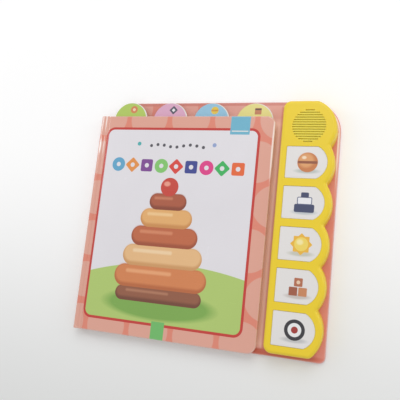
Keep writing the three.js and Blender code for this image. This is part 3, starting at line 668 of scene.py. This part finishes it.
page_shapes += [
    block(PAGE_MIDDLE, (76, 90), paint(246, 244, 238), 8.0),
    disc((PAGE_MIDDLE[0], 14), (44, 44), paint(206, 228, 236)),
    disc((PAGE_MIDDLE[0], 14), (21, 21), paint(238, 196, 96)),
    block((PAGE_MIDDLE[0], -66), (52, 9), paint(150, 196, 108), 9.0),
]
sign_x = [x + 2.5 for x in tab_x]
page_shapes += [
    disc((sign_x[0], 100.4), (3.6, 3.6), paint(214, 132, 84)),
    disc((sign_x[0], 100.4), (1.5, 1.5), paint(244, 214, 180)),
    block((sign_x[1], 100.2), (3.0, 3.0), paint(84, 84, 100), 0.5, turn=45.0),
    block((sign_x[1], 100.2), (1.3, 1.3), paint(238, 236, 240), 0.3, turn=45.0),
    disc((sign_x[2], 100.2), (3.6, 3.6), paint(232, 200, 74)),
    block((sign_x[2], 100.2), (3.4, 0.8), paint(214, 150, 60), 0.6),
    block((sign_x[3], 99.8), (3.0, 3.0), paint(196, 128, 92), 0.6),
    block((sign_x[3], 101.6), (3.0, 0.7), paint(92, 72, 60), 0.5),
]
colour = print_shapes(tree, flat(tree, position), paint(196, 216, 150), page_shapes)
surface = use(tree, film_group, Position=position, Ink=colour, Roughness=0.34, Ripple=0.4)
end_finish(page_finish, surface, 0.1, coat=0.3)

# %% Finish of the cut edges
core_finish, tree, position = start_finish("board_core")
surface = use(tree, core_group, Position=position, Paper=PAPER_WHITE)
end_finish(core_finish, surface, 0.06)

# %% [markdown]
# ## Plastics, rubber, metal
# The rest are plain resins and metals: the yellow housing, white buttons, the
# dark base, the rubber keypad and the small parts inside. Each uses a surface
# group with its own colour and roughness. Over the speaker, where the housing's
# bars are thin, a soft round tint, paler and greener than the rest of the
# yellow, is laid on the resin.

# %% Finishes of plastic and metal
def plastic(name, colour, roughness, relief=0.05, texture=1.0, coat=0.0):
    material, tree, position = start_finish(name)
    surface = use(tree, moulded_group, Position=position, Resin=colour, Roughness=roughness,
                  Texture=texture)
    return end_finish(material, surface, relief, coat=coat)


def metal(name, colour, roughness, lines=9.0):
    material, tree, position = start_finish(name)
    surface = use(tree, metal_group, Position=position, Metal=colour, Roughness=roughness,
                  Lines=lines)
    return end_finish(material, surface, 0.02, metallic=1.0)


speaker_low, speaker_high = edges_of("speaker_frame")
grille_x = (speaker_low[0] + speaker_high[0]) / 2
grille_y = (speaker_low[1] + speaker_high[1]) / 2
GRILLE_RADIUS = 13.8
yellow_finish, tree, position = start_finish("yellow_resin")
resin = print_shapes(tree, flat(tree, position), YELLOW, [
    disc((grille_x, grille_y), (GRILLE_RADIUS, GRILLE_RADIUS), paint(240, 221, 74), blur=1.6)])
surface = use(tree, moulded_group, Position=position, Resin=resin, Roughness=0.36)
end_finish(yellow_finish, surface, 0.08)
white_finish = plastic("button_resin", BUTTON_WHITE, 0.3, coat=0.2)
dark_finish = plastic("dark_resin", paint(64, 66, 72), 0.5)
rubber_finish = plastic("keypad_silicone", paint(196, 198, 202), 0.6, texture=0.5)
circuit_finish = plastic("circuit_lacquer", paint(52, 112, 74), 0.35, texture=0.3)
chip_finish = plastic("black_drop", paint(34, 34, 38), 0.16, relief=0.12, texture=0.1, coat=0.5)
cone_finish = plastic("cone_paper", paint(70, 68, 62), 0.8, relief=0.1, texture=2.5)
cloth_finish = plastic("grille_cloth", paint(252, 252, 146), 0.85, relief=0.15, texture=3.0)
steel_finish = metal("pressed_steel", paint(186, 188, 192), 0.3)
cell_finish = metal("cell_shell", paint(206, 208, 212), 0.18, lines=4.0)
brass_finish = metal("contact_brass", paint(206, 172, 100), 0.28)

# %% [markdown]
# ## Shaping helpers
# Flat pieces start as one outline, which is extruded and gets its rims bevelled.
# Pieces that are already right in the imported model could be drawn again, but a
# copy can't go wrong: its loose triangles are merged, flat parts are joined, and
# sharp rims are rounded so that they catch the light as moulded edges do.

# %% Arcs, extrusion and rounded rims
QUARTER = math.pi / 2
SAME_LEVEL = 1e-7
SHARP = math.radians(50)


def arc(x, y, radius, start, end, steps):
    return [(x + radius * math.cos(start + (end - start) * i / steps),
             y + radius * math.sin(start + (end - start) * i / steps)) for i in range(steps + 1)]


def pull(bm, grown, x=0.0, y=0.0, z=0.0):
    """Move the new points of an extrusion, in millimetres"""
    points = [item for item in grown["geom"] if isinstance(item, bmesh.types.BMVert)]
    bmesh.ops.translate(bm, vec=(x * MM, y * MM, z * MM), verts=points)


def level_edges(bm, axis):
    """The edges whose two ends have the same x, y or z"""
    return [e for e in bm.edges if abs(e.verts[0].co[axis] - e.verts[1].co[axis]) < SAME_LEVEL]


def round_rims(bm, rims, radius, segments):
    bmesh.ops.bevel(bm, geom=rims, offset=radius * MM, offset_type="OFFSET", affect="EDGES",
                    segments=segments, profile=0.5, material=-1, clamp_overlap=True)


# %% Extrude a flat outline
def sheet_of(outline, floor, top, edge=0.0, segments=3):
    """A flat piece between two levels with rounded rims, in millimetres"""
    bm = bmesh.new()
    face = bm.faces.new([bm.verts.new((x * MM, y * MM, floor * MM)) for x, y in outline])
    pull(bm, bmesh.ops.extrude_face_region(bm, geom=[face]), z=top - floor)
    if edge > 0:
        round_rims(bm, level_edges(bm, 2), edge, segments)
    bmesh.ops.recalc_face_normals(bm, faces=bm.faces)
    return bm


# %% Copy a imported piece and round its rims
def copy_of(node, edge=0.0, segments=2, where=lambda edge: True):
    """A merged copy; rims sharper than 50 degrees are rounded where asked"""
    bm = bmesh.new()
    bm.from_mesh(nodes[node].data)
    bmesh.ops.remove_doubles(bm, verts=bm.verts, dist=0.004 * MM)
    bmesh.ops.dissolve_limit(bm, angle_limit=math.radians(0.6), verts=bm.verts, edges=bm.edges)
    if edge > 0:
        rims = [e for e in bm.edges if len(e.link_faces) == 2
                and e.calc_face_angle() > SHARP and where(e)]
        round_rims(bm, rims, edge, segments)
    return bm


# %% Turn a bmesh into a piece of the book
def make_piece(bm, name, body, materials, stands_for=(), choose=None, smooth=40.0):
    """Write the mesh, pick a material for each face, and let the piece ride on its body.
    A piece given no body is left unattached. A piece that bends between two bodies is
    given none here."""
    open_edges = sum(1 for e in bm.edges if len(e.link_faces) != 2)
    mesh = bpy.data.meshes.new(name)
    for face in bm.faces:
        face.smooth = True
        face.material_index = choose(face) if choose else 0
    bm.to_mesh(mesh)
    bm.free()
    for material in materials:
        mesh.materials.append(material)
    mesh.set_sharp_from_angle(angle=math.radians(smooth))
    piece = bpy.data.objects.new(name, mesh)
    bpy.context.scene.collection.objects.link(piece)
    if body:
        weighted = piece.modifiers.new("even_flats", "WEIGHTED_NORMAL")
        weighted.keep_sharp = True
        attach(piece, body)
    if stands_for:
        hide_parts(*stands_for)
    print(name, "faces", len(mesh.polygons), "open edges", open_edges)
    return piece


# %% [markdown]
# ## Boards
# A case-bound board is greyboard wrapped in printed paper: the paper turns over
# the rounded edges, and a lining hides the turned-in edges. The front board is
# drawn again as an outline, because its rim is rounder than a copy could be
# made. Its outer face and rim take the print, and its inner face and the edge
# beside the crease take the lining. The back board is a copy, printed all over.

# %% Front and back board
BOARD_CORNER = 8.0
FACING = -0.8


def front_side(face):
    """The lining covers the inner face and the edge beside the crease"""
    return 1 if face.normal.z < FACING or face.normal.x < FACING else 0


corner_x = cover_high[0] - BOARD_CORNER
outline = [(cover_low[0], cover_low[1])]
outline += arc(corner_x, cover_low[1] + BOARD_CORNER, BOARD_CORNER, 3 * QUARTER, 4 * QUARTER, 14)
outline += arc(corner_x, cover_high[1] - BOARD_CORNER, BOARD_CORNER, 0, QUARTER, 14)
outline += [(cover_low[0], cover_high[1])]
make_piece(sheet_of(outline, cover_low[2], cover_high[2], edge=1.1, segments=5), "front_board",
           "front_cover", [cover_finish, lining_finish], ["front_cover"],
           front_side)
make_piece(copy_of("back_cover"), "back_board", "book", [back_finish],
           ["back_cover"])

# %% [markdown]
# ## Spine
# The spine is a narrow board with a round shoulder. Beside it a pressed groove
# and a soft ridge let the cover bend. It has the same section from head to foot,
# so the section is drawn once as a line of points and extruded along the book.

# %% Spine with its pressed groove
GROOVE_X = spine_x + 5.8
GROOVE_DEPTH = 0.45
GROOVE = [(-1.3, 0.02), (-0.5, GROOVE_DEPTH * 0.7), (0.0, GROOVE_DEPTH),
          (0.5, GROOVE_DEPTH * 0.7), (1.3, 0.02)]
SHOULDER = 3.6
HEEL = 1.5
LIP = 0.9
FLAP = 0.7
wall = spine_x + 2.0
section = arc(spine_x + HEEL, HEEL, HEEL, 3 * QUARTER, 2 * QUARTER, 6)
section += arc(spine_x + SHOULDER, cover_top - SHOULDER, SHOULDER, 2 * QUARTER, QUARTER, 10)
section += [(GROOVE_X + x, cover_top - depth) for x, depth in GROOVE]
section += arc(strip_end - LIP, cover_top - LIP, LIP, QUARTER, 0, 5)
section += [(strip_end, cover_low[2]), (wall, cover_low[2]), (wall, back_high[2]),
            (strip_end, back_high[2])]
section += arc(strip_end - FLAP, FLAP, FLAP, 0, -QUARTER, 4)
bm = bmesh.new()
face = bm.faces.new([bm.verts.new((x * MM, spine_low[1] * MM, z * MM)) for x, z in section])
pull(bm, bmesh.ops.extrude_face_region(bm, geom=[face]), y=spine_high[1] - spine_low[1])
bmesh.ops.recalc_face_normals(bm, faces=bm.faces)
round_rims(bm, level_edges(bm, 1), 0.3, 2)
make_piece(bm, "spine_case", "book", [cover_finish], ["spine_board"])

# %% [markdown]
# ## Hinge paper
# At the crease only paper and film hold the cover. It is a thin strip that
# dips between the two boards, printed outside and lined inside. The front strip
# is given no body here, and the back strip rides on the book. A strip of its own
# is simpler than one sheet over the whole book.

# %% Hinge paper over and under the crease
DIP = [(-3.2, 0.0), (-1.9, -0.02), (-1.2, -0.16), (-0.7, -0.42), (0.0, -0.52),
       (0.7, -0.42), (1.2, -0.16), (1.9, -0.02), (3.2, 0.0)]
HINGE_INSET = 0.5
PAPER_THICKNESS = 0.12


def hinge_paper(name, level, sign, body, finish):
    """A strip along the crease; sign is 1 over the book and -1 under it"""
    bm = bmesh.new()
    foot = (spine_low[1] + HINGE_INSET) * MM
    line = [bm.verts.new(((crease_x + x) * MM, foot, (level + sign * z) * MM)) for x, z in DIP]
    edges = [bm.edges.new(pair) for pair in zip(line, line[1:])]
    pull(bm, bmesh.ops.extrude_edge_only(bm, edges=edges),
         y=spine_high[1] - spine_low[1] - 2 * HINGE_INSET)
    bmesh.ops.recalc_face_normals(bm, faces=bm.faces)
    if sum(face.normal.z for face in bm.faces) * sign < 0:
        bmesh.ops.reverse_faces(bm, faces=bm.faces)
    bmesh.ops.solidify(bm, geom=bm.faces[:], thickness=PAPER_THICKNESS * MM)
    return make_piece(bm, name, body, [finish, lining_finish],
                      choose=lambda face: 1 if face.normal.z * sign < 0 else 0)


front_hinge = hinge_paper("front_hinge_paper", cover_top, 1, None, cover_finish)
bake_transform(front_hinge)
hinge_paper("back_hinge_paper", 0.0, -1, "book", back_finish)

# %% [markdown]
# ## The page block
# Such a block is a stack of thick leaves, pasted to each other at the spine. The
# packed block already has the four leaves, their tabs and the dark slits
# between them, so it is copied. Faces that look up or down are printed, and all
# others are the cut white core.

# %% Pages with tabs
LEVEL_FACE = 0.7


def printed_or_cut(face):
    return 0 if abs(face.normal.z) > LEVEL_FACE else 1


make_piece(copy_of("page_block"), "pages", "book", [page_finish, core_finish],
           ["page_block"], printed_or_cut, smooth=30.0)

# %% [markdown]
# ## Sound housing
# The housing is one moulding with soft rims, five windows and the slots over the
# speaker. Cutting the openings again would take many steps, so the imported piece
# is copied. The rims of its windows and slots are rounded a little, because a
# mould never leaves a knife edge.

# %% Housing with soft rims
face_level = housing_high[2] * MM


def on_the_face(edge):
    return all(abs(vertex.co.z - face_level) < 0.02 * MM for vertex in edge.verts)


make_piece(copy_of("sound_housing", 0.3, 2, on_the_face), "yellow_housing", "book",
           [yellow_finish], ["sound_housing"])

# %% [markdown]
# ## Grille cloth
# A thin cloth is glued behind the slots to keep crumbs out of the speaker. Seen
# through the slots it makes them look olive, not black. It is a flat disc, so an
# extruded circle is enough, and at a few hundredths of a millimetre it fits
# between the housing's face and the speaker.

# %% Cloth behind the slots
CLOTH_RADIUS = 14.9
CLOTH_GAP = 0.02
CLOTH_THICKNESS = 0.06
_, cone_high = edges_of("speaker_cone")
cloth_floor = max(speaker_high[2], cone_high[2]) + CLOTH_GAP
cloth_top = cloth_floor + CLOTH_THICKNESS
outline = arc(grille_x, grille_y, CLOTH_RADIUS, 0, 4 * QUARTER, 48)[:-1]
make_piece(sheet_of(outline, cloth_floor, cloth_top), "speaker_cloth", "book", [cloth_finish])
print("cloth from", round(cloth_floor, 2), "to", round(cloth_top, 2))

# %% [markdown]
# ## Buttons and their labels
# A button is a white cap with a rounded rim, and it sinks into its window when
# it is pressed. Its label is a glossy sticker in a shallow recess, with one
# plain shape in bright ink. Both are copies, made a little fuller in x and y,
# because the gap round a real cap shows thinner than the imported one. They still
# leave room to the rim of the window.

# %% Label prints
BUTTONS = range(1, 6)
SIGN_SHIFT = 1.0
sign_places = {}
for number in BUTTONS:
    low, high = edges_of(f"button_label_{number}")
    sign_places[number] = ((low[0] + high[0]) / 2 + SIGN_SHIFT, (low[1] + high[1]) / 2)
print("signs at", [(round(x, 1), round(y, 1)) for x, y in sign_places.values()])


def label_shapes(number, x, y):
    """A soft shade below, then one plain toy: ball, tower, star, blocks or target"""
    shade_y = y - (7.5 if number == 1 else 7.8)
    shade = [(196, 202, 196), (196, 202, 206), (204, 204, 190), (204, 196, 190),
             (200, 200, 200)][number - 1]
    toy = {
        1: [disc((x, y), (8.4, 8.4), paint(206, 128, 76)),
            disc((x - 1.2, y + 1.6), (6.2, 6.0), paint(228, 164, 108), blur=2.4),
            block((x, y), (8.2, 1.1), paint(150, 88, 62), 0.8),
            disc((x - 3, y + 4), (1.8, 1.3), paint(250, 226, 196), blur=0.8)],
        2: [block((x, y - 4.6), (8.2, 3.4), paint(66, 74, 108), 1.4),
            block((x, y + 1.6), (5.8, 2.9), paint(240, 240, 244), 1.0),
            block((x, y + 1.6), (5.8, 2.9), paint(96, 104, 136), 1.0, line=0.7),
            block((x, y + 6.4), (3.2, 2.2), paint(66, 74, 108), 0.9)],
        3: [block((x, y), (6.4, 6.4), paint(240, 186, 62), 0.6),
            block((x, y), (6.4, 6.4), paint(240, 186, 62), 0.6, turn=45.0),
            disc((x, y), (5.6, 5.6), paint(246, 218, 100)),
            disc((x - 1.2, y + 1.6), (2.6, 2.2), paint(252, 238, 170), blur=1.4)],
        4: [block((x - 3.6, y - 4.0), (3.4, 3.4), paint(164, 92, 66), 0.6),
            block((x + 4.0, y - 4.0), (3.4, 3.4), paint(206, 136, 92), 0.6),
            block((x + 0.2, y + 3.4), (3.4, 3.4), paint(184, 110, 78), 0.6),
            disc((x + 0.2, y + 3.4), (1.5, 1.5), paint(238, 206, 176))],
        5: [disc((x, y), (8.2, 8.2), paint(52, 50, 56)),
            disc((x, y), (5.4, 5.4), paint(240, 240, 240)),
            disc((x, y), (2.7, 2.7), paint(166, 52, 46))],
    }[number]
    return [disc((x, shade_y), (9.5, 2.0), paint(*shade), blur=1.2), *toy]


def label_finish(number):
    material, tree, position = start_finish(f"label_print_{number}")
    colour = print_shapes(tree, flat(tree, position), BUTTON_WHITE,
                          label_shapes(number, *sign_places[number]))
    surface = use(tree, film_group, Position=position, Ink=colour, Roughness=0.3, Ripple=0.3,
                  Fade=0.03)
    return end_finish(material, surface, 0.06, coat=0.4)


# %% Caps and stickers
FULLER = 1.018
RIM_REACH = 1.2


def upper_rim(edge):
    return all(vertex.co.z > face_level - RIM_REACH * MM for vertex in edge.verts)


for number in BUTTONS:
    body = f"button_{number}"
    label = f"button_label_{number}"
    low, high = edges_of(body)
    middle = Matrix.Translation((-(low[0] + high[0]) / 2 * MM, -(low[1] + high[1]) / 2 * MM, 0))
    cap = copy_of(body, 0.3, 3, upper_rim)
    sticker = copy_of(label)
    for bm in (cap, sticker):
        bmesh.ops.scale(bm, vec=(FULLER, FULLER, 1), space=middle, verts=bm.verts)
    make_piece(cap, f"button_cap_{number}", body, [white_finish], [body])
    make_piece(sticker, f"button_sticker_{number}", body, [label_finish(number)],
               [label])

# %% [markdown]
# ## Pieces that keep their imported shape
# The base, the circuit, the speaker, the cells and the screws are inside or
# underneath. Their shapes are right as they are, so each only gets its finish
# in place of the one it was packed with.

# %% Finish the pieces inside
def dress(names, material):
    for name in names:
        data = nodes[name].data
        data.materials.clear()
        data.materials.append(material)
    print(material.name, "on", len(names), "pieces")


dress(["module_base", "battery_door"], dark_finish)
dress(["circuit_board"], circuit_finish)
dress(["chip_cover"], chip_finish)
dress(["rubber_keypad"], rubber_finish)
dress(["speaker_frame", "speaker_magnet", "door_screw"]
      + [f"housing_screw_{number}" for number in range(1, 7)], steel_finish)
dress(["speaker_cone"], cone_finish)
dress([f"battery_cell_{number}" for number in range(1, 4)], cell_finish)
dress(["roof_contact_single", "roof_contact_double", "door_contact_double",
       "door_contact_single"], brass_finish)

# %% [markdown]
# ## Floor and light
# The floor is pale and plain, and a little brighter towards the head of the
# book. A wide soft lamp from above and two long ones at the sides give the film
# its highlights along the spine and the board edges.
# Together with the world they add up to a plain level, at which a colour
# renders about as it is written.

# %% Floor
FLOOR_HALF = 3.0
BRIGHTER_FROM, BRIGHTER_TO = -0.24, 0.08
FLOOR_GLOW = 0.1
bm = bmesh.new()
bmesh.ops.create_grid(bm, x_segments=1, y_segments=1, size=FLOOR_HALF)
floor_mesh = bpy.data.meshes.new("floor")
bm.to_mesh(floor_mesh)
bm.free()
floor = bpy.data.objects.new("floor", floor_mesh)
bpy.context.scene.collection.objects.link(floor)
floor_paint = bpy.data.materials.new("floor_paint")
floor_paint.use_nodes = True
tree = floor_paint.node_tree
floor_shader = tree.nodes["Principled BSDF"]
floor_shader.inputs["Roughness"].default_value = 0.9
floor_shader.inputs["Specular IOR Level"].default_value = 0.1
floor_shader.inputs["Emission Color"].default_value = (1.0, 1.0, 1.0, 1.0)
brighter = tree.nodes.new("ShaderNodeMapRange")
brighter.interpolation_type = "SMOOTHSTEP"
brighter.inputs["From Min"].default_value = BRIGHTER_FROM
brighter.inputs["From Max"].default_value = BRIGHTER_TO
place = tree.nodes.new("ShaderNodeTexCoord").outputs["Object"]
feed(tree, brighter.inputs["Value"], parts_of(tree, place)[1])
feed(tree, floor_shader.inputs["Base Color"],
     lay(tree, paint(231, 232, 231), paint(250, 250, 250), brighter.outputs["Result"]))
seen = tree.nodes.new("ShaderNodeLightPath").outputs["Is Camera Ray"]
feed(tree, floor_shader.inputs["Emission Strength"],
     sum_of(tree, "MULTIPLY", sum_of(tree, "MULTIPLY", seen, FLOOR_GLOW),
            brighter.outputs["Result"]))
floor_mesh.materials.append(floor_paint)
print("floor is", 2 * FLOOR_HALF, "m wide")


# %% Lamps and world
def soft_lamp(name, place, target, width, depth, power):
    """A rectangular lamp that looks at its target; lengths in metres"""
    lamp = bpy.data.lights.new(name, "AREA")
    lamp.shape = "RECTANGLE"
    lamp.size = width
    lamp.size_y = depth
    lamp.energy = power
    thing = bpy.data.objects.new(name, lamp)
    thing.location = place
    thing.rotation_euler = (Vector(target) - Vector(place)).to_track_quat("-Z", "Y").to_euler()
    bpy.context.scene.collection.objects.link(thing)
    print(name, "gives", power, "W")


soft_lamp("sky_box", place=(0.15, 0.75, 0.9), target=(0, 0, 0), width=0.8, depth=0.8,
          power=3.6)
soft_lamp("left_strip", place=(-0.85, 0.28, 0.45), target=(-0.1, 0.1, 0), width=0.11,
          depth=0.74, power=1.0)
soft_lamp("right_strip", place=(0.95, 0.34, 0.46), target=(0.1, 0.1, 0), width=0.3, depth=0.5,
          power=1.0)
world = bpy.data.worlds.new("pale_room")
world.use_nodes = True
backdrop = world.node_tree.nodes["Background"]
backdrop.inputs["Color"].default_value = (1.0, 1.0, 1.0, 1.0)
backdrop.inputs["Strength"].default_value = 0.65
bpy.context.scene.world = world
bpy.context.scene.view_settings.view_transform = "Standard"

# %% [markdown]
# ## Camera
# The camera was solved from the straight edges of the covers in the photo. Its
# three axes and its place go into one matrix, and its focal length, found in
# pixels of the photo, is turned into millimetres of a 36 mm sensor. Setting the
# matrix is surer than turning a camera by hand until the edges meet.

# %% Camera
FOCAL_PIXELS = 530.16
PHOTO_WIDTH = 400
SENSOR_WIDTH = 36.0
right = Vector((0.9416, 0.1070, -0.3192)).normalized()
back = Vector((0.3327, -0.1493, 0.9311)).normalized()
up = back.cross(right).normalized()
right = up.cross(back)
place = Vector((153.05, -53.95, 446.2)) * MM
lens = bpy.data.cameras.new("photo_camera")
lens.sensor_width = SENSOR_WIDTH
lens.lens = FOCAL_PIXELS / PHOTO_WIDTH * SENSOR_WIDTH
camera = bpy.data.objects.new("photo_camera", lens)
camera.matrix_world = Matrix(((right.x, up.x, back.x, place.x), (right.y, up.y, back.y, place.y),
                              (right.z, up.z, back.z, place.z), (0, 0, 0, 1)))
bpy.context.scene.collection.objects.link(camera)
bpy.context.scene.camera = camera
print("lens", round(lens.lens, 2), "mm")

# %% [markdown]
# ## End
# The dressed book must stay inside the imported one.

# %% Finish
print("done")
